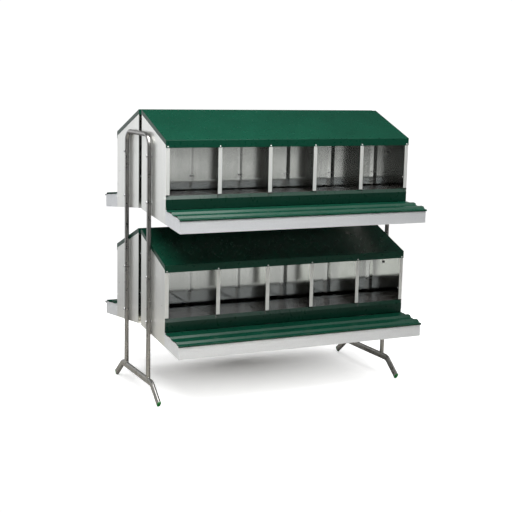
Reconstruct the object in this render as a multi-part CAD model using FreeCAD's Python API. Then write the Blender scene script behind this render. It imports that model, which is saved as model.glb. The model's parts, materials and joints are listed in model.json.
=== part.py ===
"""Two-tier, double-sided roll-away nesting box on two tube end frames.

Millimetres, +Z up.  The origin is on the floor under the middle of the object.
+X runs along the nests, -Y is the front.  The nest unit is built once as a front
unit, with its heights measured from the tier's datum; rear units are the same
unit turned half round, and each tier is a step in height.
"""
import FreeCAD
import Part
import math
import os

V = FreeCAD.Vector

# ---- driving dimensions -------------------------------------------------------
NESTS = 5
NEST_PITCH = 300.0
SHEET = 0.8
BEND = 1.0                     # inner bend radius of every folded sheet
GAP = 0.2                      # assembly gap between neighbouring sheets

ROOF_HALF = NESTS * NEST_PITCH / 2
HOUSING_HALF = ROOF_HALF - SHEET - GAP       # outer faces of the end panels
LID_HALF = ROOF_HALF + 3.3

BACK = 20.0                    # half of the gap between front and rear units
FRONT = 393.0                  # outer face of the front flanges
SKIN = FRONT + SHEET + GAP     # outer face of the eave fascia and kick board
TRAY_FRONT = 600.0
FLOOR_SLOPE = 0.106            # roll-out floor, falling towards the tray
FLOOR_DROP = 1.6               # lower front edge of the end panels, below the tier's datum

TIER_HEIGHTS = {"lower": 347.0, "upper": 1008.0}

EAVE = 441.0
RIDGE = 585.0
FASCIA = 40.0
RIDGE_FLANGE = 30.0
ROOF_SIDE_FLANGE = 25.0

KICK_BOTTOM = 76.6
KICK_BEND = 130.0
KICK_TOP = 150.5
KICK_LEAN = 12.0               # how far the top lip leans inwards
SLIT = 3.0                     # through the kick board's lip at each divider
KICK_RETURN = 9.0              # folded in along the lower edge
LIP_RETURN = 4.0               # folded down along the top edge, and as steep again
LIP_RETURN_DROP = 5.0
TAB_BACK = 372.0               # how far in the screwed end tabs reach
FLANGE_BOTTOM = 153.5          # the front flanges end just above the kick board
FRONT_FLANGE = 22.0
BACK_FLANGE = 26.0
BACK_FLANGE_SLIM = 15.0
OVER_BEND = math.tan(math.radians(4))        # rear flanges close past square, free edge on the panel
PANEL_HOLE_R = 3.0             # a small hole near the front of each end panel
PANEL_HOLE_Y = 350.0
PANEL_HOLE_Z = 214.0

MAT_BACK = 75.0
MAT_FRONT = 374.0
MAT_BACK_TOP = 134.5
MAT_FRONT_TOP = 144.5
MAT_THICK = 8.0
MAT_SIDE_GAP = 3.5
MAT_EDGE = 12.0                # the turned-down front and back edges
MAT_EDGE_THICK = 2.5
MAT_ROUND = 2.0
RAIL = 20.0

TRAY_INSIDE = 376.0            # the tray reaches this far in under the roll-out floor
TRAY_TAB_FRONT = 405.0
TRAY_TAB_BOTTOM = 20.0
TRAY_TAB_TOP = 62.0
EAR_R = 6.5                    # round the hinge rod on the tray's ends
AXIS_Y = 400.0                 # lid hinge rod
AXIS_Z = 70.7
ROD_R = 2.5
HEM_BORE_R = 2.57
HEM_R = 4.5
LID_SLOPE = math.radians(6.7)
LID_DEPTH = 206.0
LID_LIP = 8.0
RIB_HEIGHT = 10.0
RIB_STARTS = (52.0, 137.0)
RIB_SIDE = 12.0
RIB_TOP = 20.0

TUBE_R = 12.5
TUBE_WALL = 1.5
HOOP_X = 763.0
POST_Y = 181.0
HOOP_TOP = 1465.0
HOOP_BEND = 60.0
BOLT_HEIGHTS = (92.0, 343.0)
BOLT_R = 4.0
BOLT_HOLE_R = 4.25
BOLT_HEAD = 5.3
BOLT_END = 10.0                # how far the bolts reach into the housing
HEX_FLATS = 13.0
NUT_HIGH = 6.5
SPACER_R = 8.0
TOUCH = 0.05                   # between two faces that are bolted together

FOOT_WIDE = 20.0               # flat-oval foot tube, standing on its narrow side
FOOT_HIGH = 38.0
FOOT_Z = 104.0
FOOT_BEND_R = 60.0
TOE_SLOPE = math.radians(38)
TOE_Y = 355.0                  # middle of the outer face of a toe's plug
TOE_Z = 14.5
CAP_PLATE = 5.5
CAP_OVERHANG = 0.6
CAP_PLUG = 14.0

SCREW_R = 2.0
SCREW_HEAD_R = 4.0
SCREW_HEAD = 2.4
SCREW_LENGTH = 8.0
SCREW_HOLE_R = 2.15
FASCIA_SCREW_UP = 6.5          # above the lower edge of the fascia
BACK_SCREW_HEIGHTS = (214.0, 440.0)
BACK_SCREW_SEAT = 24.8
SIDE_SCREWS = ((381.0, 137.0), (384.0, 56.0))    # (depth, height): kick board, tray


# ---- sheet-metal helpers ------------------------------------------------------
def offset_path(points, distance):
    """Open path moved to its left by distance, with mitred corners."""
    normals = []
    for start, end in zip(points, points[1:]):
        along = (end - start).normalize()
        normals.append(V(-along.y, along.x, 0))
    moved = [points[0] + normals[0] * distance]
    for before, after, point in zip(normals, normals[1:], points[1:-1]):
        mitre = (before + after).normalize()
        moved.append(point + mitre * (distance / mitre.dot(before)))
    moved.append(points[-1] + normals[-1] * distance)
    return moved


def rounded_path(points, radii):
    """Edges of an open path whose inner corners are arcs of the given radii."""
    edges = []
    start = points[0]
    for before, corner, after, radius in zip(points, points[1:], points[2:], radii):
        into = (corner - before).normalize()
        out = (after - corner).normalize()
        half = into.getAngle(out) / 2
        reach = radius * math.tan(half)
        first = corner - into * reach
        last = corner + out * reach
        inward = (out - into).normalize()
        middle = corner + inward * (radius / math.cos(half) - radius)
        edges.append(Part.LineSegment(start, first).toShape())
        edges.append(Part.Arc(first, middle, last).toShape())
        start = last
    edges.append(Part.LineSegment(start, points[-1]).toShape())
    return edges


def folded_profile(points, side):
    """Face of a folded sheet; the path is one skin, side +1 puts metal on its left."""
    path = [V(a, b, 0) for a, b in points]
    other = offset_path(path, side * SHEET)
    radii = []
    for before, corner, after in zip(path, path[1:], path[2:]):
        turn = (corner - before).cross(after - corner).z
        radii.append(BEND + SHEET if turn * side > 0 else BEND)
    other_radii = [2 * BEND + SHEET - radius for radius in radii]
    edges = rounded_path(path, radii)
    edges += rounded_path(other[::-1], other_radii[::-1])
    edges.append(Part.LineSegment(path[-1], other[-1]).toShape())
    edges.append(Part.LineSegment(other[0], path[0]).toShape())
    wire = Part.Wire(Part.__sortEdges__(edges))
    return Part.Face(wire)


def face_to_yz(face, x):
    """Stand a face drawn in (y, z) up in the plane at x."""
    placed = face.copy()
    placed.rotate(V(0, 0, 0), V(0, 0, 1), 90)
    placed.rotate(V(0, 0, 0), V(0, 1, 0), 90)
    placed.translate(V(x, 0, 0))
    return placed


def along_x(face, x_low, x_high):
    return face_to_yz(face, x_low).extrude(V(x_high - x_low, 0, 0))


def polygon(points):
    closed = [V(a, b, 0) for a, b in points]
    return Part.Face(Part.makePolygon(closed + closed[:1]))


def slab(points, x_low, x_high):
    """Solid with a polygon drawn in (y, z), between two places along X."""
    return along_x(polygon(points), x_low, x_high)


def box(x_low, x_high, y_low, y_high, z_low, z_high):
    return Part.makeBox(x_high - x_low, y_high - y_low, z_high - z_low, V(x_low, y_low, z_low))


def rod(radius, start, end):
    return Part.makeCylinder(radius, (end - start).Length, start, end - start)


def hexagon(across_flats, start, end):
    """Hexagonal prism along X, as bolt heads and nuts are."""
    corner = across_flats / math.sqrt(3)
    points = []
    for i in range(6):
        turn = math.radians(60 * i)
        points.append((start.y + corner * math.cos(turn), start.z + corner * math.sin(turn)))
    return slab(points, min(start.x, end.x), max(start.x, end.x))


# ---- heights that several pieces share ------------------------------------------
def bottom(depth):
    """Height of the sloping lower edge at a depth from the middle of the object."""
    return (FRONT - depth) * FLOOR_SLOPE - FLOOR_DROP


def roof_top(depth):
    return RIDGE - (depth - BACK) * (RIDGE - EAVE) / (SKIN - BACK)


def roof_under(depth):
    slope = (RIDGE - EAVE) / (SKIN - BACK)
    return roof_top(depth) - SHEET * math.hypot(1, slope) - GAP


def lid_point(along, height):
    """(y, z) of a place on the closed lid: distance from the hinge, height above it."""
    y = -AXIS_Y - along * math.cos(LID_SLOPE) - height * math.sin(LID_SLOPE)
    z = AXIS_Z - along * math.sin(LID_SLOPE) + height * math.cos(LID_SLOPE)
    return (y, z)


def mat_top(depth):
    share = (depth - MAT_BACK) / (MAT_FRONT - MAT_BACK)
    return MAT_BACK_TOP + share * (MAT_FRONT_TOP - MAT_BACK_TOP)


# ---- screws: one list places the screws and drills their holes ----------------------
def web_places():
    """Skin x of each wall, left to right, and the direction its front flange points."""
    places = [(-HOUSING_HALF, 1)]
    for i in range(1, NESTS):
        x = -ROOF_HALF + i * NEST_PITCH
        places.append((x, 1 if x < 0 else -1))
    places.append((HOUSING_HALF, -1))
    return places


def fascia_screws():
    height = EAVE - FASCIA + FASCIA_SCREW_UP
    return [(V(x + side * FRONT_FLANGE / 2, -SKIN, height), V(0, 1, 0)) for x, side in web_places()]


def back_flange_x(x, side):
    """Middle of a wall's back flange, which on the left dividers is slim and turned back."""
    if side > 0 and abs(x) < HOUSING_HALF:
        return x - BACK_FLANGE_SLIM / 2
    return x + side * BACK_FLANGE / 2


def back_screws():
    screws = []
    for x, side in web_places():
        for height in BACK_SCREW_HEIGHTS:
            at = V(back_flange_x(x, side), -BACK_SCREW_SEAT, height)
            screws.append((at, V(0, 1, 0)))
    return screws


def side_screws():
    """Kick board and tray tabs, screwed through the end panels."""
    screws = []
    for side in (-1, 1):
        for depth, height in SIDE_SCREWS:
            screws.append((V(side * HOUSING_HALF, -depth, height), V(-side, 0, 0)))
    return screws


def all_screws():
    return fascia_screws() + back_screws() + side_screws()


def drilled(shape):
    """The shape with a clearance hole for every screw that reaches it."""
    holes = []
    for at, into in all_screws():
        hole = rod(SCREW_HOLE_R, at - into * 4, at + into * (SCREW_LENGTH + 2))
        if hole.BoundBox.intersect(shape.BoundBox):
            holes.append(hole)
    return shape.cut(holes) if holes else shape


def pan_screw(at, into):
    head = rod(SCREW_HEAD_R, at - into * SCREW_HEAD, at)
    rim = [edge for edge in head.Edges if edge.Closed and edge.BoundBox.Center.sub(at).Length > 1]
    head = head.makeFillet(SCREW_HEAD / 2, rim)
    shank = rod(SCREW_R, at, at + into * SCREW_LENGTH)
    return head.fuse(shank)


def make_screws():
    return [pan_screw(at, into) for at, into in all_screws()]


# ---- housing --------------------------------------------------------------------------
def make_roof():
    skin = [
        (-BACK, RIDGE - RIDGE_FLANGE),
        (-BACK, RIDGE),
        (-SKIN, EAVE),
        (-SKIN, EAVE - FASCIA),
    ]
    roof = along_x(folded_profile(skin, 1), -ROOF_HALF, ROOF_HALF)
    for side in (-1, 1):
        flange = [
            (-BACK - SHEET, roof_top(BACK + SHEET) - SHEET),
            (-SKIN + SHEET, roof_top(SKIN - SHEET) - SHEET),
            (-SKIN + SHEET, roof_top(SKIN) - ROOF_SIDE_FLANGE),
            (-BACK - SHEET, roof_top(BACK) - ROOF_SIDE_FLANGE),
        ]
        inner = side * (ROOF_HALF - SHEET)
        outer = side * ROOF_HALF
        roof = roof.fuse(slab(flange, min(inner, outer), max(inner, outer)))
    return drilled(roof.removeSplitter())


def wall_outline(low_extra):
    """Side outline shared by end panels and dividers."""
    rear = BACK + SHEET + 2 * GAP
    return [
        (-rear - SHEET, bottom(rear) + low_extra),
        (-FRONT, bottom(FRONT) + low_extra),
        (-FRONT, roof_under(FRONT)),
        (-rear - SHEET, roof_under(rear + SHEET)),
    ]


def walled_sheet(path, side, low_extra):
    """Sheet folded about upright bends, trimmed to the side outline."""
    upright = folded_profile(path, side).extrude(V(0, 0, RIDGE + 40))
    upright.translate(V(0, 0, -20))
    sheet = upright.common(slab(wall_outline(low_extra), -ROOF_HALF, ROOF_HALF))
    bend_end = -FRONT + SHEET + BEND
    below_flange = box(-ROOF_HALF, ROOF_HALF, -FRONT - 1, bend_end, -20, FLANGE_BOTTOM)
    return sheet.cut(below_flange)


def make_end_panel(side):
    x = side * HOUSING_HALF
    rear = BACK + 2 * SHEET + 2 * GAP
    path = [
        (x - side * FRONT_FLANGE, -FRONT),
        (x, -FRONT),
        (x, -rear - BACK_FLANGE * OVER_BEND),
        (x - side * BACK_FLANGE, -rear),
    ]
    panel = walled_sheet(path, side, 0.0)
    web = [
        (-FRONT, bottom(FRONT)),
        (-FRONT, FLANGE_BOTTOM),
        (-FRONT + 3 * SHEET, FLANGE_BOTTOM),
        (-FRONT + 3 * SHEET, bottom(FRONT - 3 * SHEET)),
    ]
    inner = x - side * SHEET
    panel = panel.fuse(slab(web, min(inner, x), max(inner, x)))
    at = V(x, -PANEL_HOLE_Y, PANEL_HOLE_Z)
    holes = [rod(PANEL_HOLE_R, at - V(5, 0, 0), at + V(5, 0, 0))]
    for height in BOLT_HEIGHTS:
        at = V(x, -POST_Y, height)
        holes.append(rod(BOLT_HOLE_R, at - V(5, 0, 0), at + V(5, 0, 0)))
    return drilled(panel.removeSplitter().cut(holes))


def mat_rail_places():
    """(depth, height) of the front upper corner of each angle under the mats."""
    places = []
    for depth in (MAT_BACK + RAIL + 3, MAT_FRONT - 3):
        places.append((depth, mat_top(depth - RAIL) - MAT_THICK - GAP))
    return places


def make_dividers():
    rear = BACK + 2 * SHEET + 2 * GAP
    slots = []
    for depth, height in mat_rail_places():
        slots.append(box(-ROOF_HALF, ROOF_HALF, -depth - 1, -depth + RAIL + 1, height - RAIL - 1, height + 2))
    dividers = []
    for x, side in web_places()[1:-1]:
        if side > 0:
            path = [
                (x + FRONT_FLANGE, -FRONT),
                (x, -FRONT),
                (x, -rear - SHEET - BACK_FLANGE_SLIM * OVER_BEND),
                (x - BACK_FLANGE_SLIM, -rear - SHEET),
            ]
        else:
            path = [
                (x - FRONT_FLANGE, -FRONT),
                (x, -FRONT),
                (x, -rear - BACK_FLANGE * OVER_BEND),
                (x - BACK_FLANGE, -rear),
            ]
        divider = walled_sheet(path, -side, 2 * SHEET + 2 * GAP)
        dividers.append(drilled(divider.cut(slots)))
    return dividers


def make_back_panel():
    y = -BACK - SHEET - GAP
    low = bottom(BACK) + 3 * SHEET
    high = roof_under(BACK + SHEET) - 2
    half = HOUSING_HALF - SHEET - GAP
    return drilled(slab([(y, low), (y, high), (y - SHEET, high), (y - SHEET, low)], -half, half))


def make_roll_out_floor():
    lift = SHEET + GAP
    rear = BACK + 3 * SHEET + 2 * GAP + BEND + BACK_FLANGE * OVER_BEND
    points = [
        (-rear, bottom(rear) + lift),
        (-rear, bottom(rear) + lift + SHEET),
        (-FRONT, bottom(FRONT) + lift + SHEET),
        (-FRONT, bottom(FRONT) + lift),
    ]
    half = HOUSING_HALF - SHEET - GAP
    return slab(points, -half, half)


def make_mats():
    """One moulded mat per nest, turned down along its front and back edges."""
    front_inside = MAT_FRONT - MAT_EDGE_THICK
    back_inside = MAT_BACK + MAT_EDGE_THICK
    outline = [
        (-MAT_BACK, mat_top(MAT_BACK)),
        (-MAT_FRONT, mat_top(MAT_FRONT)),
        (-MAT_FRONT, mat_top(MAT_FRONT) - MAT_EDGE),
        (-front_inside, mat_top(MAT_FRONT) - MAT_EDGE),
        (-front_inside, mat_top(front_inside) - MAT_THICK),
        (-back_inside, mat_top(back_inside) - MAT_THICK),
        (-back_inside, mat_top(MAT_BACK) - MAT_EDGE),
        (-MAT_BACK, mat_top(MAT_BACK) - MAT_EDGE),
    ]
    mats = []
    walls = [x for x, side in web_places()]
    for left, right in zip(walls, walls[1:]):
        mat = slab(outline, left + MAT_SIDE_GAP, right - MAT_SIDE_GAP)
        upright = [edge for edge in mat.Edges if edge.BoundBox.XLength < 0.1 and edge.BoundBox.YLength > 100]
        top = [edge for edge in upright if edge.BoundBox.ZMax > MAT_FRONT_TOP - 1]
        mats.append(mat.makeFillet(MAT_ROUND, top))
    return mats


def make_mat_rails():
    half = HOUSING_HALF - SHEET - GAP
    rails = []
    for depth, height in mat_rail_places():
        path = [(-depth, height - RAIL), (-depth, height), (-depth + RAIL, height)]
        rails.append(along_x(folded_profile(path, -1), -half, half))
    return rails


# ---- kick board, egg tray and lid ---------------------------------------------------------
def make_kick_board():
    """Folded board with a leaning top lip, slit where the dividers pass through."""
    lip = (-SKIN + KICK_LEAN, KICK_TOP)
    skin = [
        (-SKIN + KICK_RETURN, KICK_BOTTOM),
        (-SKIN, KICK_BOTTOM),
        (-SKIN, KICK_BEND),
        lip,
        (lip[0] + LIP_RETURN, KICK_TOP - LIP_RETURN_DROP),
    ]
    half = HOUSING_HALF - SHEET - GAP
    board = along_x(folded_profile(skin, -1), -half, half)
    tab = [
        (-TAB_BACK, KICK_BOTTOM + 6),
        (-SKIN + SHEET / 2, KICK_BOTTOM + 6),
        (-SKIN + SHEET / 2, KICK_BEND),
        (lip[0] - SHEET / 2, KICK_TOP - 2),
        (-TAB_BACK, KICK_TOP - 8),
    ]
    for side in (-1, 1):
        low, high = sorted((side * (half - SHEET), side * half))
        board = board.fuse(slab(tab, low, high))
    slits = []
    for x, side in web_places()[1:-1]:
        middle = x + side * SHEET / 2
        low = middle - SLIT / 2
        high = middle + SLIT / 2
        behind = -FRONT + SHEET - GAP
        slits.append(box(low, high, behind, -TAB_BACK, KICK_BOTTOM - 1, KICK_TOP + 1))
        slits.append(box(low, high, -SKIN - 1, -TAB_BACK, KICK_BEND + 1, KICK_TOP + 1))
    return drilled(board.removeSplitter().cut(slits))


def make_egg_tray():
    rim = lid_point(TRAY_FRONT - AXIS_Y, HEM_R - SHEET - 0.3)[1]
    skin = [
        (-TRAY_INSIDE, bottom(TRAY_INSIDE)),
        (-TRAY_FRONT, bottom(TRAY_FRONT)),
        (-TRAY_FRONT, rim),
    ]
    tray = along_x(folded_profile(skin, -1), -HOUSING_HALF, HOUSING_HALF)
    tabs_only = HOUSING_HALF - SHEET - GAP
    for side in (-1, 1):
        low, high = sorted((side * tabs_only, side * (HOUSING_HALF + 1)))
        tray = tray.cut(box(low, high, -FRONT - GAP, -TRAY_INSIDE + 1, -30, 30))
    rear = FRONT + GAP
    plate = [
        (-rear, bottom(rear) + 0.3),
        (-TRAY_FRONT + SHEET / 2, bottom(TRAY_FRONT) + SHEET / 2),
        (-TRAY_FRONT + SHEET / 2, rim - 0.5),
        lid_point(12.0, HEM_R - SHEET - 0.5),
        (-rear, AXIS_Z + 2),
    ]
    tab = [
        (-TRAY_TAB_FRONT, TRAY_TAB_BOTTOM),
        (-TRAY_TAB_FRONT, TRAY_TAB_TOP),
        (-TAB_BACK, TRAY_TAB_TOP),
        (-TAB_BACK, TRAY_TAB_BOTTOM),
    ]
    for side in (-1, 1):
        inner = side * (HOUSING_HALF - SHEET)
        outer = side * HOUSING_HALF
        end = slab(plate, min(inner, outer), max(inner, outer))
        ear = rod(EAR_R, V(inner, -AXIS_Y, AXIS_Z), V(outer, -AXIS_Y, AXIS_Z))
        tab_outer = side * tabs_only
        tab_inner = side * (tabs_only - SHEET)
        joint = slab(tab, min(tab_inner, tab_outer), max(tab_inner, tab_outer))
        low, high = sorted((inner, tab_inner))
        bridge = box(low, high, -TRAY_TAB_FRONT, -rear - GAP, TRAY_TAB_BOTTOM, TRAY_TAB_TOP)
        tray = tray.fuse([end, ear, joint, bridge])
    bore = rod(ROD_R + 0.05, V(-ROOF_HALF, -AXIS_Y, AXIS_Z), V(ROOF_HALF, -AXIS_Y, AXIS_Z))
    return drilled(tray.removeSplitter().cut(bore))


def make_tray_lid():
    """Ribbed lid whose rear edge is rolled round the hinge rod."""
    hem_half = HOUSING_HALF - SHEET - 2.4
    top = HEM_R
    profile = [lid_point(0, top)]
    for start in RIB_STARTS:
        profile.append(lid_point(start, top))
        profile.append(lid_point(start + RIB_SIDE, top + RIB_HEIGHT))
        profile.append(lid_point(start + RIB_SIDE + RIB_TOP, top + RIB_HEIGHT))
        profile.append(lid_point(start + 2 * RIB_SIDE + RIB_TOP, top))
    profile.append(lid_point(LID_DEPTH, top))
    profile.append(lid_point(LID_DEPTH, top - LID_LIP))
    lid = along_x(folded_profile(profile, 1), -LID_HALF, LID_HALF)
    notch = [lid_point(-5, -1), lid_point(8, -1), lid_point(8, 8), lid_point(-5, 8)]
    lid = lid.cut(slab(notch, -LID_HALF - 1, -hem_half))
    lid = lid.cut(slab(notch, hem_half, LID_HALF + 1))
    start = V(-hem_half, -AXIS_Y, AXIS_Z)
    end = V(hem_half, -AXIS_Y, AXIS_Z)
    lid = lid.fuse(rod(HEM_R, start, end))
    return lid.cut(rod(HEM_BORE_R, start - V(1, 0, 0), end + V(1, 0, 0))).removeSplitter()


def make_hinge_rod():
    return rod(ROD_R, V(-HOUSING_HALF, -AXIS_Y, AXIS_Z), V(HOUSING_HALF, -AXIS_Y, AXIS_Z))


# ---- end frames ------------------------------------------------------------------------------
def tube_path(points, radius):
    """Wire in the (y, z) plane at x = 0, with one radius at every bend."""
    flat = [V(y, z, 0) for y, z in points]
    edges = rounded_path(flat, [radius] * (len(flat) - 2))
    wire = Part.Wire(edges)
    wire.rotate(V(0, 0, 0), V(0, 0, 1), 90)
    wire.rotate(V(0, 0, 0), V(0, 1, 0), 90)
    return wire


def bolt_places():
    return [(y, base + height) for y in (-POST_Y, POST_Y)
            for base in TIER_HEIGHTS.values() for height in BOLT_HEIGHTS]


def make_hoop(side):
    """Inverted U of round tube, its ends coped to stand on the foot tube."""
    points = [(-POST_Y, FOOT_Z), (-POST_Y, HOOP_TOP), (POST_Y, HOOP_TOP), (POST_Y, FOOT_Z)]
    path = tube_path(points, HOOP_BEND)
    skins = []
    for radius in (TUBE_R, TUBE_R - TUBE_WALL):
        circle = Part.Wire(Part.makeCircle(radius, V(0, -POST_Y, FOOT_Z), V(0, 0, 1)))
        skins.append(path.makePipeShell([circle], True, False))
    flank = FOOT_Z + (FOOT_HIGH - FOOT_WIDE) / 2
    below = box(-30, 30, -POST_Y - 30, POST_Y + 30, 0, flank)
    hoop = skins[0].cut([skins[1], foot_solid(0.0), below])
    hoop.translate(V(side * HOOP_X, 0, 0))
    holes = []
    for y, z in bolt_places():
        holes.append(rod(BOLT_HOLE_R, V(side * HOOP_X - 20, y, z), V(side * HOOP_X + 20, y, z)))
    return hoop.cut(holes)


def oval_wire(inset):
    """Flat oval standing on its narrow side, across the Y axis."""
    radius = FOOT_WIDE / 2 - inset
    straight = FOOT_HIGH / 2 - FOOT_WIDE / 2
    corners = [
        V(-radius, 0, -straight),
        V(-radius, 0, straight),
        V(radius, 0, straight),
        V(radius, 0, -straight),
    ]
    edges = [
        Part.LineSegment(corners[0], corners[1]).toShape(),
        Part.Arc(corners[1], V(0, 0, straight + radius), corners[2]).toShape(),
        Part.LineSegment(corners[2], corners[3]).toShape(),
        Part.Arc(corners[3], V(0, 0, -straight - radius), corners[0]).toShape(),
    ]
    return Part.Wire(edges)


def toe_place(back):
    """Place on the foot's centre line, this far back from the outer face of its plug."""
    return V(0, TOE_Y - back * math.cos(TOE_SLOPE), TOE_Z + back * math.sin(TOE_SLOPE))


def foot_solid(inset):
    """The foot's whole length as a solid oval; its ends are square to the toes."""
    toe = toe_place(CAP_PLATE)
    bend_y = TOE_Y - (FOOT_Z - TOE_Z) / math.tan(TOE_SLOPE)
    points = [(-toe.y, toe.z), (-bend_y, FOOT_Z), (bend_y, FOOT_Z), (toe.y, toe.z)]
    wire = oval_wire(inset)
    wire.rotate(V(0, 0, 0), V(1, 0, 0), math.degrees(TOE_SLOPE))
    wire.translate(V(0, -toe.y, toe.z))
    return tube_path(points, FOOT_BEND_R).makePipeShell([wire], True, False)


def make_foot_tube(side):
    """Flat-oval tube with both ends bent down to the floor."""
    tube = foot_solid(0.0).cut(foot_solid(TUBE_WALL))
    tube.translate(V(side * HOOP_X, 0, 0))
    return tube


def toe_oval(inset, back_low, back_high):
    """Solid oval in line with a toe, between two places back from its plug's face."""
    face = Part.Face(oval_wire(inset))
    face.rotate(V(0, 0, 0), V(1, 0, 0), -math.degrees(TOE_SLOPE))
    face.translate(toe_place(back_high))
    return face.extrude(toe_place(back_low) - toe_place(back_high))


def make_foot_caps():
    """Plastic plugs in the four toes; each stands on the flat cut on its lower corner."""
    plate = toe_oval(-CAP_OVERHANG, 0.0, CAP_PLATE - 0.05)
    plug = toe_oval(TUBE_WALL + 0.1, CAP_PLATE - 1.0, CAP_PLATE + CAP_PLUG)
    cap = plate.fuse(plug).removeSplitter()
    cap = cap.cut(box(-30, 30, TOE_Y - 60, TOE_Y + 60, -30, 0))
    caps = []
    for x in (-HOOP_X, HOOP_X):
        for turn in (0, 180):
            moved = cap.copy()
            moved.rotate(V(0, 0, 0), V(0, 0, 1), turn)
            moved.translate(V(x, 0, 0))
            caps.append(moved)
    return caps


def make_frame_bolts():
    bolts = []
    for side in (-1, 1):
        outer = side * (HOOP_X + TUBE_R)
        for y, z in bolt_places():
            head_end = V(outer + side * BOLT_HEAD, y, z)
            head = hexagon(HEX_FLATS, head_end, V(outer + side * TOUCH, y, z))
            shank_end = V(side * (HOUSING_HALF - BOLT_END), y, z)
            shank = rod(BOLT_R, V(outer + side, y, z), shank_end)
            bolts.append(head.fuse(shank))
    return bolts


def make_frame_spacers():
    spacers = []
    for side in (-1, 1):
        near = side * (HOUSING_HALF + TOUCH)
        far = side * (HOOP_X - TUBE_R - TOUCH)
        for y, z in bolt_places():
            ring = rod(SPACER_R, V(near, y, z), V(far, y, z))
            spacers.append(ring.cut(rod(BOLT_HOLE_R, V(near - side, y, z), V(far + side, y, z))))
    return spacers


def make_frame_nuts():
    nuts = []
    for side in (-1, 1):
        near = side * (HOUSING_HALF - SHEET - TOUCH)
        far = near - side * NUT_HIGH
        for y, z in bolt_places():
            nut = hexagon(HEX_FLATS, V(near, y, z), V(far, y, z))
            nuts.append(nut.cut(rod(BOLT_R + 0.02, V(near + side, y, z), V(far - side, y, z))))
    return nuts


# ---- assembly -------------------------------------------------------------------------------
def placed(shape, tier, row):
    moved = shape.copy()
    if row == "rear":
        moved.rotate(V(0, 0, 0), V(0, 0, 1), 180)
    moved.translate(V(0, 0, TIER_HEIGHTS[tier]))
    return moved


def export(name, shapes):
    group = shapes if isinstance(shapes, list) else [shapes]
    solids = [solid for shape in group for solid in shape.Solids]
    for solid in solids:
        if not solid.isValid():
            raise ValueError(name + " is not a valid solid")
    shape = solids[0] if len(solids) == 1 else Part.makeCompound(solids)
    shape.exportStep("parts/" + name + ".step")


def unit_pieces():
    return {
        "roof": make_roof(),
        "end_panel_left": make_end_panel(-1),
        "end_panel_right": make_end_panel(1),
        "dividers": make_dividers(),
        "back_panel": make_back_panel(),
        "roll_out_floor": make_roll_out_floor(),
        "nest_mats": make_mats(),
        "mat_rails": make_mat_rails(),
        "kick_board": make_kick_board(),
        "egg_tray": make_egg_tray(),
        "tray_lid": make_tray_lid(),
        "hinge_rod": make_hinge_rod(),
        "screws": make_screws(),
    }


def main():
    os.makedirs("parts", exist_ok=True)
    for name, shapes in unit_pieces().items():
        group = shapes if isinstance(shapes, list) else [shapes]
        for tier in TIER_HEIGHTS:
            for row in ("front", "rear"):
                export(tier + "_" + row + "_" + name, [placed(shape, tier, row) for shape in group])
    for side, word in ((-1, "left"), (1, "right")):
        export("foot_tube_" + word, make_foot_tube(side))
        export("hoop_" + word, make_hoop(side))
    export("foot_caps", make_foot_caps())
    export("frame_bolts", make_frame_bolts())
    export("frame_spacers", make_frame_spacers())
    export("frame_nuts", make_frame_nuts())


main()
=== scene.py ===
"""Looks of the two-tier, double-sided nesting box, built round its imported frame.

Metres, +Z up, the CAD model's own frame: X runs along the nests, -Y is the front.
"""
import json
import math
import random

import bmesh
import bpy
from mathutils import Matrix, Vector


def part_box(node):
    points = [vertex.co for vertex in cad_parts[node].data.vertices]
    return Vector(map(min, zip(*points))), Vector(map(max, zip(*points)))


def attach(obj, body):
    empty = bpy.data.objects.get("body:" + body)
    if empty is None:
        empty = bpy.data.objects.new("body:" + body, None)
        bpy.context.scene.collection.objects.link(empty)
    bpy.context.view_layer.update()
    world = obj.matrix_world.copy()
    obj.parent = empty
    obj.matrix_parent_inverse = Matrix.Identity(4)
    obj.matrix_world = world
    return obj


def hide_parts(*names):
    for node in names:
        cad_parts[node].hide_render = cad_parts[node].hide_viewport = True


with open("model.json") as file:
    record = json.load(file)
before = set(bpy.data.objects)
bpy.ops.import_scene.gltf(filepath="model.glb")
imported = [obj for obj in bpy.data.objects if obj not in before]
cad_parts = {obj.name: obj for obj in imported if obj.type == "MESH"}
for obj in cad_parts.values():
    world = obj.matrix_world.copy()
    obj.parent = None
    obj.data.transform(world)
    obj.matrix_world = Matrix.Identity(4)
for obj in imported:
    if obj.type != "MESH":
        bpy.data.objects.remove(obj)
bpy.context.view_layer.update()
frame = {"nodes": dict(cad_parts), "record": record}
NODES = frame["nodes"]
UNITS = [tier + "_" + row for tier in ("upper", "lower") for row in ("front", "rear")]
MM = 0.001


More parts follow.
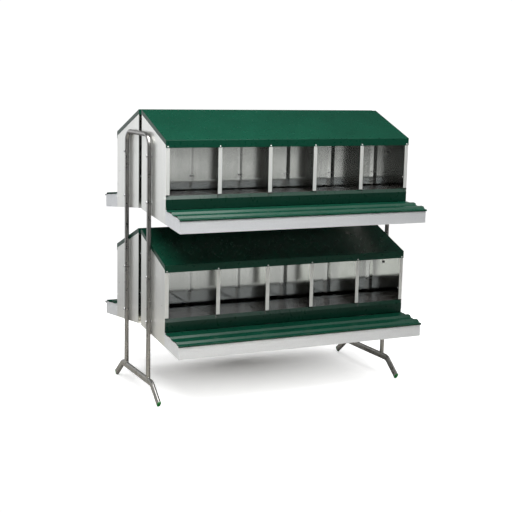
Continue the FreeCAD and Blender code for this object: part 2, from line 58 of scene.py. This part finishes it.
# ---- materials ------------------------------------------------------------------
class Shader:
    """A Principled material and the few node shapes that all the materials share.

    Noise scales are per metre, and grain sizes and bump depths are in metres.
    """

    def __init__(self, name, color, roughness, metallic=0.0, **fixed):
        self.material = bpy.data.materials.new(name)
        self.material.use_nodes = True
        self.tree = self.material.node_tree
        self.surface = self.tree.nodes["Principled BSDF"]
        self.surface.inputs["Base Color"].default_value = (*color, 1.0)
        self.surface.inputs["Roughness"].default_value = roughness
        self.surface.inputs["Metallic"].default_value = metallic
        for socket, value in fixed.items():
            self.surface.inputs[socket.replace("_", " ")].default_value = value
        self.place = self.node("ShaderNodeTexCoord").outputs["Object"]

    def node(self, kind, **inputs):
        made = self.tree.nodes.new(kind)
        for socket, value in inputs.items():
            self.put(made.inputs[socket.replace("_", " ")], value)
        return made

    def put(self, socket, value):
        if isinstance(value, bpy.types.NodeSocket):
            self.tree.links.new(value, socket)
        else:
            socket.default_value = value

    def stretched(self, scale):
        return self.node("ShaderNodeMapping", Vector=self.place, Scale=scale).outputs["Vector"]

    def math(self, operation, first, second=None):
        made = self.node("ShaderNodeMath")
        made.operation = operation
        self.put(made.inputs[0], first)
        if second is not None:
            self.put(made.inputs[1], second)
        return made.outputs["Value"]

    def noise(self, scale, detail=3.0, stretch=(1.0, 1.0, 1.0)):
        made = self.node("ShaderNodeTexNoise", Vector=self.stretched(stretch), Scale=scale, Detail=detail)
        return made.outputs["Fac"]

    def grains(self, size):
        """One random value for each crystal of about this size."""
        cells = self.node("ShaderNodeTexVoronoi", Vector=self.place, Scale=1.0 / size)
        split = self.node("ShaderNodeSeparateColor", Color=cells.outputs["Color"])
        return split.outputs["Red"]

    def ramp(self, value, low, high, start=0.3, end=0.7):
        """The value's start to end spread over low to high."""
        made = self.node("ShaderNodeMapRange", Value=value, From_Min=start, From_Max=end,
                         To_Min=low, To_Max=high)
        return made.outputs["Result"]

    def blend(self, amount, color_a, color_b):
        """Colour that goes from a to b as the amount goes from 0 to 1."""
        made = self.node("ShaderNodeMix")
        made.data_type = "RGBA"
        factor, first, second = (made.inputs[i] for i in (0, 6, 7))
        self.put(factor, amount)
        for socket, color in ((first, color_a), (second, color_b)):
            self.put(socket, color if isinstance(color, bpy.types.NodeSocket) else (*color, 1.0))
        return made.outputs[2]

    def color(self, value):
        self.put(self.surface.inputs["Base Color"], value)

    def roughness(self, value):
        self.put(self.surface.inputs["Roughness"], value)

    def bump(self, *layers):
        """Layers of (height, depth in metres), the coarsest first."""
        normal = None
        for height, depth in layers:
            made = self.node("ShaderNodeBump", Height=height, Distance=depth, Strength=1.0)
            if normal:
                self.put(made.inputs["Normal"], normal)
            normal = made.outputs["Normal"]
        self.put(self.surface.inputs["Normal"], normal)


def scaled(color, share):
    return tuple(channel * share for channel in color)


HOUSING_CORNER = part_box("upper_front_end_panel_left")[0]
FLANGE_PLANE = -HOUSING_CORNER.y - 1.2 * MM     # front flanges and trays lie outside this depth
END_PLANE = -HOUSING_CORNER.x - 0.8 * MM        # outer faces of the ends lie outside this width
PLANE_BLUR = 0.4 * MM
CRYSTAL = 4.0 * MM
FLANGE_ROUGHNESS = 0.42
FLANGE_CHALK = 0.5                              # share of white zinc oxide, which isn't metallic
END_ROUGHNESS = 0.28
END_CHALK = 0.25


def galvanised(name, color, roughness, rolled, wave):
    """Zinc-coated sheet: crystals, rolling streaks along one axis, a slightly wavy face.

    Inside the nests it is clean and sharp. Faces out in the open are duller and chalky.
    """
    made = Shader(name, color, roughness, metallic=1.0)
    streaks = made.noise(38.0, 4.0, rolled)
    crystals = made.grains(CRYSTAL)
    clouds = made.noise(4.0, 2.0)
    tone = made.blend(made.ramp(streaks, 0.0, 1.0), scaled(color, 0.93), color)
    tone = made.blend(made.ramp(crystals, 0.0, 0.22, 0.0, 1.0), tone, scaled(color, 0.82))
    made.color(tone)
    clean = made.math("ADD", made.ramp(clouds, -0.01, 0.02),
                      made.ramp(crystals, roughness * 0.85, roughness * 1.15, 0.0, 1.0))
    split = made.node("ShaderNodeSeparateXYZ", Vector=made.place)
    width = made.math("ABSOLUTE", split.outputs["X"])
    depth = made.math("ABSOLUTE", split.outputs["Y"])
    flange = made.ramp(depth, 0.0, 1.0, FLANGE_PLANE, FLANGE_PLANE + PLANE_BLUR)
    end = made.ramp(width, 0.0, 1.0, END_PLANE, END_PLANE + PLANE_BLUR)
    dull = made.math("MAXIMUM", made.math("MULTIPLY", flange, FLANGE_ROUGHNESS),
                     made.math("MULTIPLY", end, END_ROUGHNESS))
    made.roughness(made.math("MAXIMUM", clean, dull))
    chalk = made.math("MAXIMUM", made.math("MULTIPLY", flange, FLANGE_CHALK),
                      made.math("MULTIPLY", end, END_CHALK))
    made.put(made.surface.inputs["Metallic"], made.math("SUBTRACT", 1.0, chalk))
    made.bump((made.noise(3.2, 1.0), wave), (made.noise(900.0, 2.0), 0.000004))
    return made.material


def painted(name, color, roughness, gloss):
    """Baked enamel over sheet: fine orange peel, faint mottling, a clear gloss on top."""
    made = Shader(name, color, roughness, Coat_Weight=gloss, Coat_Roughness=0.12,
                  Specular_IOR_Level=0.25)
    mottle = made.noise(5.0, 3.0)
    made.color(made.blend(made.ramp(mottle, 0.0, 1.0), scaled(color, 0.88), scaled(color, 1.1)))
    made.roughness(made.ramp(made.noise(60.0, 3.0), roughness - 0.04, roughness + 0.05))
    made.bump((made.noise(3.5, 1.0), 0.0006), (made.noise(420.0, 2.0), 0.000012))
    return made.material


def moulded(name, color, roughness, grain):
    """Moulded plastic with a fine textured skin."""
    made = Shader(name, color, roughness)
    mottle = made.noise(22.0, 4.0)
    made.color(made.blend(made.ramp(mottle, 0.0, 1.0), scaled(color, 0.7), scaled(color, 1.35)))
    made.roughness(made.ramp(made.noise(160.0, 3.0), roughness - 0.07, roughness + 0.07))
    made.bump((made.noise(700.0, 3.0), grain))
    return made.material


def tube_metal(name, color, roughness):
    """Drawn, galvanised tube: duller than sheet, with streaks along the posts."""
    made = Shader(name, color, roughness, metallic=1.0)
    streaks = made.noise(90.0, 4.0, (1.0, 1.0, 0.06))
    made.color(made.blend(made.ramp(streaks, 0.0, 1.0), scaled(color, 0.84), scaled(color, 1.12)))
    made.roughness(made.ramp(made.noise(26.0, 4.0), roughness - 0.07, roughness + 0.09))
    made.bump((made.noise(500.0, 2.0), 0.000008))
    return made.material


GREEN = (0.0018, 0.038, 0.021)
UPRIGHT = (1.0, 1.0, 0.05)      # noise stretched into streaks up the sheet
LENGTHWISE = (0.05, 1.0, 1.0)   # and along it
MATERIALS = {
    "green_roof": painted("roof_enamel", GREEN, 0.3, 0.05),
    # painted shade: the kick boards take the roof's green darkened to 0.6, standing in for the shade on
    # their fronts
    "green_kick_board": painted("kick_board_enamel_painted_shade", scaled(GREEN, 0.6), 0.3, 0.2),
    "green_lid": painted("lid_enamel", GREEN, 0.3, 0.08),
    "galvanised_sheet": galvanised("galvanised_sheet", (0.84, 0.85, 0.82), 0.09, UPRIGHT, 0.0003),
    "galvanised_tray": galvanised("galvanised_tray", (0.84, 0.86, 0.88), 0.45, LENGTHWISE, 0.0003),
    "mat_plastic": moulded("mat_plastic", (0.016, 0.011, 0.009), 0.24, 0.00002),
    "tube_steel": tube_metal("tube_steel", (0.37, 0.365, 0.35), 0.3),
    "cap_green": moulded("cap_plastic", (0.004, 0.28, 0.045), 0.34, 0.000015),
    "zinc_fasteners": tube_metal("zinc", (0.55, 0.56, 0.57), 0.30),
    "screw_white": moulded("screw_paint", (0.72, 0.74, 0.73), 0.32, 0.000006),
    "weld": tube_metal("weld_zinc_spray", (0.52, 0.52, 0.50), 0.46),
}


def dress_frame():
    """Every CAD node gets the finished material of its own slot."""
    slots = {part["node"]: part["material_slot"] for part in frame["record"]["subparts"]}
    for name, node in NODES.items():
        node.data.materials.clear()
        node.data.materials.append(MATERIALS[slots[name]])


# ---- pieces -----------------------------------------------------------------------
def solids_of(node):
    """Corner points of each separate solid in a CAD node."""
    mesh = bmesh.new()
    mesh.from_mesh(NODES[node].data)
    bmesh.ops.remove_doubles(mesh, verts=mesh.verts, dist=1e-6)
    seen = set()
    solids = []
    for start in mesh.verts:
        if start in seen:
            continue
        seen.add(start)
        reached = [start]
        for vert in reached:
            for edge in vert.link_edges:
                other = edge.other_vert(vert)
                if other not in seen:
                    seen.add(other)
                    reached.append(other)
        solids.append([vert.co.copy() for vert in reached])
    mesh.free()
    return solids


def corners(points):
    low = Vector([min(point[i] for point in points) for i in range(3)])
    high = Vector([max(point[i] for point in points) for i in range(3)])
    return low, high


def piece(name, mesh, slot, body, *stands_for, finish=None):
    """Turns a bmesh into a shown piece of one of the record's slots that rides on a body."""
    bmesh.ops.recalc_face_normals(mesh, faces=mesh.faces)
    data = bpy.data.meshes.new(name)
    mesh.to_mesh(data)
    mesh.free()
    made = bpy.data.objects.new(name, data)
    bpy.context.scene.collection.objects.link(made)
    data.materials.append(MATERIALS[finish or slot])
    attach(made, body)
    if stands_for:
        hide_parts(*stands_for)
    return made


def loft(mesh, rings, close=True):
    """Faces between rings of the same number of points; the end rings are capped."""
    rows = [[mesh.verts.new(point) for point in ring] for ring in rings]
    count = len(rows[0])
    for row, above in zip(rows, rows[1:]):
        for i in range(count):
            j = (i + 1) % count
            mesh.faces.new((row[i], row[j], above[j], above[i]))
    if close:
        mesh.faces.new(rows[0][::-1])
        mesh.faces.new(rows[-1])
    return rows


def smooth(made, degrees=35):
    made.data.shade_smooth()
    made.data.set_sharp_from_angle(angle=math.radians(degrees))


def fastener_line(points, head_radius):
    """Outer end of the head, direction into the work and length, for a solid along X or Y."""
    low, high = corners(points)
    size = high - low
    along = 0 if size.x > size.y else 1
    middle = (low + high) / 2
    head = []
    for point in points:
        off = point - middle
        off[along] = 0
        if off.length > head_radius * 0.8:
            head.append(point[along])
    head_is_low = sum(head) / len(head) < middle[along]
    into = Vector((0, 0, 0))
    into[along] = 1.0 if head_is_low else -1.0
    start = middle.copy()
    start[along] = low[along] if head_is_low else high[along]
    return start, into, size[along]


def turned(mesh, start, into, profile, segments, spread=None, dent=None):
    """Lathe-like body: profile is (depth, radius) pairs from the outer end inwards."""
    side = into.orthogonal().normalized()
    up = into.cross(side)
    rings = []
    for depth, radius in profile:
        ring = []
        for i in range(segments):
            angle = math.tau * i / segments
            reach = spread(angle, radius) if spread else radius
            sink = dent(angle, radius) if dent else 0.0
            ring.append(start + into * (depth + sink)
                        + (side * math.cos(angle) + up * math.sin(angle)) * reach)
        rings.append(ring)
    loft(mesh, rings)


# ---- screws and bolts ---------------------------------------------------------------
SCREW_HEAD = 4.0 * MM           # radius
SCREW_SHANK = 1.95 * MM         # radius
SCREW_HEAD_DEPTH = 2.4 * MM
SCREW_POINT = 1.2 * MM
RECESS_REACH = 2.1 * MM
RECESS_ARM = 0.9 * MM
RECESS_DEPTH = 1.1 * MM


def cross_recess(angle, radius):
    """Sinks the four arms of a cross drive into the head."""
    arm = abs(math.sin(2 * angle)) * radius
    return RECESS_DEPTH if radius < RECESS_REACH and arm < RECESS_ARM else 0.0


def make_screws(unit):
    node = unit + "_screws"
    mesh = bmesh.new()
    for points in solids_of(node):
        start, into, length = fastener_line(points, SCREW_HEAD)
        dome = []
        for share in (0.04, 0.25, 0.4, 0.52, 0.53, 0.7, 0.85, 0.95, 1.0):
            depth = SCREW_HEAD_DEPTH * (1 - math.sqrt(max(0.0, 1 - share ** 2.6))) * 0.85
            dome.append((depth, SCREW_HEAD * share))
        shank = [(SCREW_HEAD_DEPTH, SCREW_HEAD), (SCREW_HEAD_DEPTH, SCREW_SHANK),
                 (length - SCREW_POINT, SCREW_SHANK), (length, SCREW_SHANK * 0.55)]
        turned(mesh, start, into, dome + shank, 24, dent=cross_recess)
    smooth(piece(unit + "_pan_screws", mesh, "screw_white", "stand", node), 40)


BOLT_FLATS = 6.5 * MM           # from the axis to a flat
BOLT_HEAD_DEPTH = 5.3 * MM      # with the washer face
WASHER_FACE = 0.9 * MM
BOLT_SHANK = 3.9 * MM           # radius
THREAD_LENGTH = 12 * MM
THREAD_PITCH = 1.25 * MM


def hexagonal(angle, radius):
    """Stretches a circle of the flats' radius to the hexagon round it."""
    if radius < BOLT_FLATS:
        return radius
    turn = math.pi / 3
    return radius / math.cos((angle % turn) - turn / 2)


def chamfer(angle, radius):
    """The hexagon's corners start lower than its flats."""
    return (hexagonal(angle, radius) - radius) * 0.6 if radius >= BOLT_FLATS else 0.0


def make_frame_bolts():
    mesh = bmesh.new()
    for points in solids_of("frame_bolts"):
        start, into, length = fastener_line(points, BOLT_FLATS)
        head = [(0.0, BOLT_FLATS * 0.93), (0.25 * MM, BOLT_FLATS),
                (BOLT_HEAD_DEPTH - 1.0 * MM, BOLT_FLATS)]
        turned(mesh, start, into, head, 36, hexagonal, chamfer)
        washer = [(0.0, BOLT_FLATS * 0.9), (WASHER_FACE, BOLT_FLATS * 0.98)]
        turned(mesh, start + into * (BOLT_HEAD_DEPTH - WASHER_FACE), into, washer, 36)
        rest = start + into * BOLT_HEAD_DEPTH
        body = length - BOLT_HEAD_DEPTH
        shank = [(-0.5 * MM, BOLT_SHANK)]
        for i in range(int(THREAD_LENGTH / THREAD_PITCH)):
            at = body - THREAD_LENGTH + i * THREAD_PITCH
            shank += [(at, BOLT_SHANK), (at + 0.62 * MM, BOLT_SHANK * 0.87)]
        shank += [(body - 0.6 * MM, BOLT_SHANK), (body, BOLT_SHANK * 0.8)]
        turned(mesh, rest, into, shank, 20)
    smooth(piece("hex_bolts", mesh, "zinc_fasteners", "stand", "frame_bolts"), 25)


# ---- nest mats --------------------------------------------------------------------------
MAT_DEPTH = 8.0 * MM
MAT_EDGE = 12.0 * MM            # depth of the skirts under the front and rear edges
SKIRT = 2.5 * MM
SKIRT_SET_IN = 7.0 * MM
MAT_RIM = 9.0 * MM
FIELD_SINK = 2.0 * MM           # the nubbed field lies this far below the rim
NUB_PITCH = 12.5 * MM
ROW_PITCH = NUB_PITCH * 0.866   # rows of a triangular grid


def mat_axes(points):
    """Back left top corner, directions along X, down the depth and up, and the two sizes."""
    low, high = corners(points)
    back, front = (max(point.z for point in points if abs(point.y - y) < 4 * MM)
                   for y in (high.y, low.y))
    start = Vector((low.x, high.y, back))
    depth = Vector((0, low.y - high.y, front - back))
    across = Vector((1, 0, 0))
    up = across.cross(-depth).normalized()
    return start, across, depth.normalized(), up, high.x - low.x, depth.length


def mat_ring(place, width, depth, inset, rise, corner=7.0 * MM, steps=5):
    """Rounded rectangle set in from the mat's edge."""
    radius = max(corner - inset, 1.5 * MM)
    ring = []
    for right, far, first in ((1, 0, -90), (1, 1, 0), (0, 1, 90), (0, 0, 180)):
        middle_a = width - inset - radius if right else inset + radius
        middle_b = depth - inset - radius if far else inset + radius
        for i in range(steps + 1):
            angle = math.radians(first + 90 * i / steps)
            ring.append(place(middle_a + radius * math.cos(angle),
                              middle_b + radius * math.sin(angle), rise))
    return ring


def add_skirt(mesh, place, width, near):
    """Rib under the mat that keeps it from sliding, from near over its own thickness."""
    rings = []
    for rise, shrink in ((-MAT_DEPTH + 0.5 * MM, 0.0), (-MAT_EDGE + 0.6 * MM, 0.0),
                         (-MAT_EDGE, 0.6 * MM)):
        a_low, a_high = SKIRT_SET_IN + shrink, width - SKIRT_SET_IN - shrink
        b_low, b_high = near + shrink, near + SKIRT - shrink
        rings.append([place(a_low, b_low, rise), place(a_high, b_low, rise),
                      place(a_high, b_high, rise), place(a_low, b_high, rise)])
    loft(mesh, rings)


def add_nubs(mesh, place, up, width, depth):
    """Low nubs over the sunk field, in rows of a triangular grid."""
    nub = [(FIELD_SINK * 0.1, 2.1 * MM), (FIELD_SINK * 0.35, 2.6 * MM),
           (FIELD_SINK + 0.2 * MM, 3.2 * MM)]
    margin = MAT_RIM + 6 * MM
    rows = int((depth - 2 * margin) / ROW_PITCH)
    columns = int((width - 2 * margin) / NUB_PITCH)
    left = (width - columns * NUB_PITCH) / 2
    near = (depth - rows * ROW_PITCH) / 2
    for row in range(rows + 1):
        odd = row % 2
        for column in range(columns + 1 - odd):
            a = left + (column + odd / 2) * NUB_PITCH
            turned(mesh, place(a, near + row * ROW_PITCH, 0.0), -up, nub, 8)


def add_mat(mesh, points):
    start, across, down, up, width, depth = mat_axes(points)

    def place(a, b, rise):
        return start + across * a + down * b + up * rise

    section = [
        (0.0, -MAT_DEPTH), (0.0, -2.2 * MM), (0.6 * MM, -0.7 * MM), (2.0 * MM, 0.0),
        (MAT_RIM, 0.0), (MAT_RIM + 0.7 * MM, -0.4 * MM), (MAT_RIM + 1.2 * MM, -FIELD_SINK),
    ]
    loft(mesh, [mat_ring(place, width, depth, inset, rise) for inset, rise in section])
    for near in (0.0, depth - SKIRT):
        add_skirt(mesh, place, width, near)
    add_nubs(mesh, place, up, width, depth)


def make_mats(unit):
    node = unit + "_nest_mats"
    mesh = bmesh.new()
    for points in solids_of(node):
        add_mat(mesh, points)
    smooth(piece(unit + "_moulded_mats", mesh, "mat_plastic", "stand", node), 30)


# ---- end frames ------------------------------------------------------------------------------
PLUG_ROUNDING = 1.3 * MM
WELD_R = 2.6 * MM
WELD_STEPS = 60
WELD_SIDES = 10
RIPPLES = 15


def make_toe_plugs():
    """The plugs with their rims rounded off."""
    mesh = bmesh.new()
    mesh.from_mesh(NODES["foot_caps"].data)
    bmesh.ops.remove_doubles(mesh, verts=mesh.verts, dist=1e-6)
    bmesh.ops.dissolve_limit(mesh, angle_limit=math.radians(2), verts=mesh.verts, edges=mesh.edges)
    rims = [edge for edge in mesh.edges
            if edge.is_manifold and edge.calc_face_angle() > math.radians(60)]
    bmesh.ops.bevel(mesh, geom=rims, offset=PLUG_ROUNDING, segments=3, profile=0.5, affect="EDGES",
                    clamp_overlap=True)
    smooth(piece("toe_plugs", mesh, "cap_green", "stand", "foot_caps"), 35)


def make_welds(side):
    """Rippled beads where the two posts stand on the foot tube."""
    hoop_low, hoop_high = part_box("hoop_" + side)
    foot_low, foot_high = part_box("foot_tube_" + side)
    centre_x = (hoop_low.x + hoop_high.x) / 2
    tube = (hoop_high.x - hoop_low.x) / 2
    crown = (foot_high.x - foot_low.x) / 2
    wobble = random.Random(7)
    mesh = bmesh.new()
    for post_y in (hoop_low.y + tube, hoop_high.y - tube):
        rings = []
        for i in range(WELD_STEPS):
            angle = math.tau * i / WELD_STEPS
            off = min(abs(tube * math.cos(angle)), crown)
            height = foot_high.z - crown + math.sqrt(crown ** 2 - off ** 2)
            outward = Vector((math.cos(angle), math.sin(angle), 0))
            middle = Vector((centre_x, post_y, height)) + outward * tube
            bead = WELD_R * (1 + 0.12 * math.sin(RIPPLES * angle) + wobble.uniform(-0.06, 0.06))
            ring = []
            for j in range(WELD_SIDES):
                turn = math.tau * j / WELD_SIDES
                rise = Vector((0, 0, math.sin(turn)))
                ring.append(middle + (outward * math.cos(turn) + rise) * bead)
            rings.append(ring)
        rows = loft(mesh, rings, close=False)
        for j in range(WELD_SIDES):
            k = (j + 1) % WELD_SIDES
            mesh.faces.new((rows[-1][j], rows[-1][k], rows[0][k], rows[0][j]))
    smooth(piece("welds_" + side, mesh, "tube_steel", "stand", finish="weld"), 60)


# ---- studio --------------------------------------------------------------------------------------
FLOOR_R = 2.3
PAPER = (0.84, 0.84, 0.84)
PAPER_MIRRORED = (0.46, 0.44, 0.40)     # the sheet metal mirrors a darker, warmer floor
SHADOW_SHIFT = (-0.02, -0.35, 0.0)      # the painted glow is weakest here, which puts the soft shadow's middle towards the back
SHADOW_SQUEEZE = (0.55, 1.0, 1.0)       # the painted glow's gap, and so the shadow, is longer than it is deep
SHADOW_EDGE = 0.75                      # outside this radius the painted glow is full and the shadow is lost in white
# strength of the painted glow that whitens the floor for the camera
PAINTED_WHITE_GLOW = 0.9


def make_floor():
    """Round sheet of pale paper that runs out to pure white away from the object, through painted light:
    an emission that only the camera sees lifts the cast shadow towards white.
    """
    mesh = bmesh.new()
    bmesh.ops.create_circle(mesh, cap_ends=True, segments=96, radius=FLOOR_R)
    data = bpy.data.meshes.new("floor")
    mesh.to_mesh(data)
    mesh.free()
    floor = bpy.data.objects.new("floor", data)
    bpy.context.scene.collection.objects.link(floor)
    paper = Shader("floor_paper", PAPER, 0.8, Emission_Color=(1.0, 1.0, 1.0, 1.0))
    seen = paper.node("ShaderNodeLightPath").outputs["Is Camera Ray"]
    paper.color(paper.blend(seen, PAPER_MIRRORED, PAPER))
    centred = paper.node("ShaderNodeMapping", Vector=paper.place, Location=SHADOW_SHIFT,
                         Scale=SHADOW_SQUEEZE).outputs["Vector"]
    reach = paper.node("ShaderNodeVectorMath", Vector=centred)
    reach.operation = "LENGTH"
    # painted light: the paper glows for the camera, from nothing at the shadow's middle to full white at
    # SHADOW_EDGE
    painted_glow = paper.ramp(reach.outputs["Value"], 0.0, PAINTED_WHITE_GLOW, 0.0, SHADOW_EDGE)
    paper.put(paper.surface.inputs["Emission Strength"], paper.math("MULTIPLY", painted_glow, seen))
    data.materials.append(paper.material)


BACKDROP_WHITE = 1.05
SKY_COLOR = (0.98, 0.985, 1.0)

# What the sheet metal mirrors, by direction. An edge is a change of strength along X, Y or Z of
# the unit direction: (from, to, strength before, strength after).
FRONT_HALF = (0.0, -0.35, 0.0, 1.0)
BACK_WALL_SIDE = (0.15, -0.1, 0.0, 1.0)         # bright on the left
BACK_WALL_FOOT = (-0.24, -0.10, 0.25, 1.0)
BACK_WALL_RIGHT = 0.6
CEILING = (0.5, 0.2, 0.1, 1.0)
FRONT_WALL_FOOT = (-0.105, -0.094, 0.0, 1.0)
FRONT_WALL_TOP = (0.08, 0.0, 0.0, 1.0)
FRONT_WALL_SHADE = (-0.066, -0.088, 0.14, 1.1)
APRON_TOP = (-0.145, -0.16, 0.0, 1.0)           # a lit strip of ground under the front wall
APRON_FOOT = (-0.205, -0.185, 0.24, 0.8)
RIGHT_APRON_TOP = (-0.145, -0.155, 0.0, 1.0)
RIGHT_APRON_FOOT = (-0.20, -0.185, 0.0, 1.3)
RIGHT_APRON_SIDE = (0.15, 0.25, 0.0, 1.0)
HIGH_BAND_FOOT = (0.20, 0.24, 0.0, 1.6)
HIGH_BAND_TOP = (0.38, 0.32, 0.0, 1.0)
LIT_RIGHT_SIDE = (-0.15, -0.22, 0.1, 1.0)       # the front is lit on the left only
LIT_LEFT_SIDE = (-0.560, -0.545, 0.0, 1.0)
LIT_LEFT_FADE = (-0.49, -0.54, 1.0, 0.5)


class Sky:
    """The studio round the object, as light from each direction; white to the camera."""

    def __init__(self):
        world = bpy.data.worlds.new("studio")
        bpy.context.scene.world = world
        world.use_nodes = True
        self.tree = world.node_tree
        self.tree.nodes.clear()
        place = self.tree.nodes.new("ShaderNodeTexCoord")
        split = self.tree.nodes.new("ShaderNodeSeparateXYZ")
        self.tree.links.new(place.outputs["Generated"], split.inputs["Vector"])
        self.x, self.y, self.z = split.outputs

    def step(self, value, start, end, low=0.0, high=1.0):
        """Smooth change of strength from low at start to high at end."""
        made = self.tree.nodes.new("ShaderNodeMapRange")
        made.interpolation_type = "SMOOTHSTEP"
        self.tree.links.new(value, made.inputs["Value"])
        for socket, number in (("From Min", start), ("From Max", end), ("To Min", low), ("To Max", high)):
            made.inputs[socket].default_value = number
        return made.outputs["Result"]

    def math(self, operation, first, second):
        made = self.tree.nodes.new("ShaderNodeMath")
        made.operation = operation
        for socket, value in zip(made.inputs, (first, second)):
            if isinstance(value, bpy.types.NodeSocket):
                self.tree.links.new(value, socket)
            else:
                socket.default_value = value
        return made.outputs["Value"]

    def product(self, *values):
        made = values[0]
        for value in values[1:]:
            made = self.math("MULTIPLY", made, value)
        return made

    def finish(self, strength, color):
        """Lights everything with this strength, while the camera sees plain white."""
        light = self.tree.nodes.new("ShaderNodeBackground")
        self.tree.links.new(strength, light.inputs["Strength"])
        light.inputs["Color"].default_value = (*color, 1.0)
        backdrop = self.tree.nodes.new("ShaderNodeBackground")
        backdrop.inputs["Color"].default_value = (1.0, 1.0, 1.0, 1.0)
        backdrop.inputs["Strength"].default_value = BACKDROP_WHITE
        path = self.tree.nodes.new("ShaderNodeLightPath")
        mix = self.tree.nodes.new("ShaderNodeMixShader")
        self.tree.links.new(path.outputs["Is Camera Ray"], mix.inputs["Fac"])
        self.tree.links.new(light.outputs["Background"], mix.inputs[1])
        self.tree.links.new(backdrop.outputs["Background"], mix.inputs[2])
        out = self.tree.nodes.new("ShaderNodeOutputWorld")
        self.tree.links.new(mix.outputs["Shader"], out.inputs["Surface"])


def make_world():
    """A bright wall behind on the left and a dim one on the right; in front, on the left only,
    a low wall, a strip of ground below it and a band above it; a strip of ground on the right.
    """
    sky = Sky()
    left = sky.step(sky.x, *BACK_WALL_SIDE)
    behind = sky.math("ADD", sky.product(left, sky.step(sky.z, *BACK_WALL_FOOT)),
                      sky.product(sky.math("SUBTRACT", 1.0, left), BACK_WALL_RIGHT))
    behind = sky.product(behind, sky.step(sky.z, *CEILING))
    wall = sky.product(sky.step(sky.z, *FRONT_WALL_FOOT), sky.step(sky.z, *FRONT_WALL_TOP),
                       sky.step(sky.z, *FRONT_WALL_SHADE))
    apron = sky.product(sky.step(sky.z, *APRON_TOP), sky.step(sky.z, *APRON_FOOT))
    high = sky.product(sky.step(sky.z, *HIGH_BAND_FOOT), sky.step(sky.z, *HIGH_BAND_TOP))
    lit = sky.product(sky.step(sky.x, *LIT_RIGHT_SIDE), sky.step(sky.x, *LIT_LEFT_SIDE),
                      sky.step(sky.x, *LIT_LEFT_FADE))
    right = sky.product(sky.step(sky.z, *RIGHT_APRON_TOP), sky.step(sky.z, *RIGHT_APRON_FOOT),
                        sky.step(sky.x, *RIGHT_APRON_SIDE))
    bands = sky.product(sky.math("ADD", sky.math("ADD", wall, apron), high), lit)
    ahead = sky.math("ADD", bands, right)
    front = sky.step(sky.y, *FRONT_HALF)
    strength = sky.math("ADD", sky.product(behind, sky.math("SUBTRACT", 1.0, front)),
                        sky.product(ahead, front))
    sky.finish(strength, SKY_COLOR)


BOX_HEIGHT = 3.3
DOWN = Vector((0, 0, -1))
TOWARDS_BACK = Vector((0, 1, 0))


def softbox(name, place, aim, width, height, radiance, color=(1.0, 1.0, 1.0)):
    """Rectangular lamp that shines along aim, with one radiance whatever its size."""
    light = bpy.data.lights.new(name, "AREA")
    light.shape = "RECTANGLE"
    light.size = width
    light.size_y = height
    light.energy = radiance * width * height * math.pi
    light.color = color
    made = bpy.data.objects.new(name, light)
    bpy.context.scene.collection.objects.link(made)
    made.location = place
    made.rotation_euler = aim.to_track_quat("-Z", "Y").to_euler()
    made.visible_camera = False
    return made


def make_lights():
    """The main light is overhead and left of the middle; the one behind isn't mirrored."""
    softbox("overhead", (-1.0, -1.9, BOX_HEIGHT), DOWN, 3.4, 3.2, radiance=7.5)
    softbox("fill", (1.9, -1.6, BOX_HEIGHT), DOWN, 2.0, 3.0, radiance=1.5)
    back = softbox("back", (0.4, 2.5, BOX_HEIGHT), DOWN, 3.0, 2.0, radiance=5.0)
    back.visible_glossy = False
    softbox("front", (-4.4, -8.0, 3.2), TOWARDS_BACK, 2.6, 2.2, radiance=0.8,
            color=(0.80, 0.90, 1.0))


CAMERA_PLACE = (-2.8115, -5.7265, 1.8169)
CAMERA_YAW = 0.453              # radians, to the right of straight at the front
CAMERA_PITCH = -0.168
CAMERA_ROLL = 0.022
CAMERA_LENS = 76.95             # mm, on a sensor 36 mm wide


def make_camera():
    data = bpy.data.cameras.new("camera")
    data.sensor_width = 36.0
    data.lens = CAMERA_LENS
    data.clip_end = 60.0
    camera = bpy.data.objects.new("camera", data)
    bpy.context.scene.collection.objects.link(camera)
    turn = Matrix.Rotation(-CAMERA_YAW, 3, "Z") @ Matrix.Rotation(math.pi / 2 + CAMERA_PITCH, 3, "X")
    turn = turn @ Matrix.Rotation(CAMERA_ROLL, 3, "Z")
    camera.matrix_world = Matrix.Translation(CAMERA_PLACE) @ turn.to_4x4()
    bpy.context.scene.camera = camera
    bpy.context.scene.view_settings.view_transform = "Standard"


make_camera()
make_world()
make_lights()
make_floor()
dress_frame()
for unit in UNITS:
    make_screws(unit)
    make_mats(unit)
make_frame_bolts()
make_toe_plugs()
for side in ("left", "right"):
    make_welds(side)
